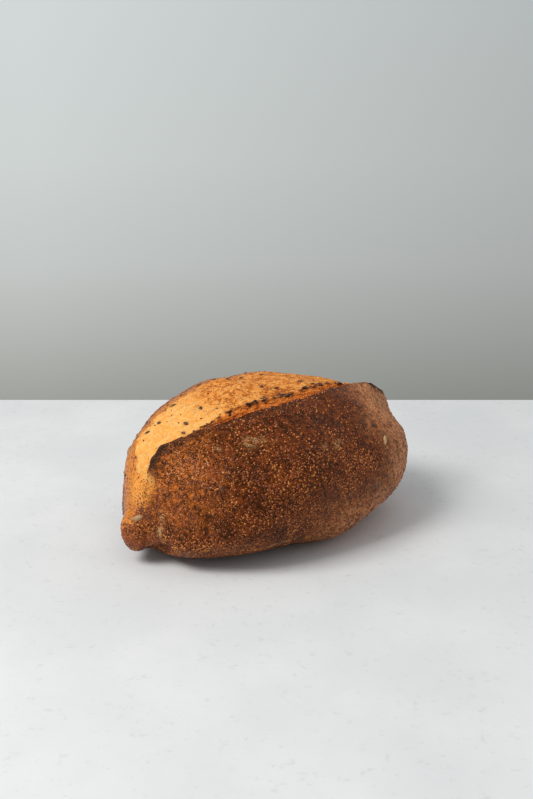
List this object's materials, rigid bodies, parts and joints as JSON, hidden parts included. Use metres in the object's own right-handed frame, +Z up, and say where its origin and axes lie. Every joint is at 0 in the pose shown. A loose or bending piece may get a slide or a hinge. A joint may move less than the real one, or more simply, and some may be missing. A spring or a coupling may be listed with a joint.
{
  "type": "seeded loaf",
  "caption": "Oval hearth loaf with a dark blistered crust, one long slash with a raised ear, a pale golden bloom and seeds baked into the crust.",
  "frame": {"origin": "on the table under the middle of the loaf's bounding box", "axes": "+X along the loaf from its knobbed end to the end where the ear stands up, +Y across it from the dark crust to the pale bloom, +Z up"},
  "size_m": [0.25, 0.1698, 0.1146],
  "materials": {
    "crust": "satin",
    "seeds": "satin"
  },
  "bodies": {
    "root": {"loaf": "crust"}
  },
  "joints": []
}
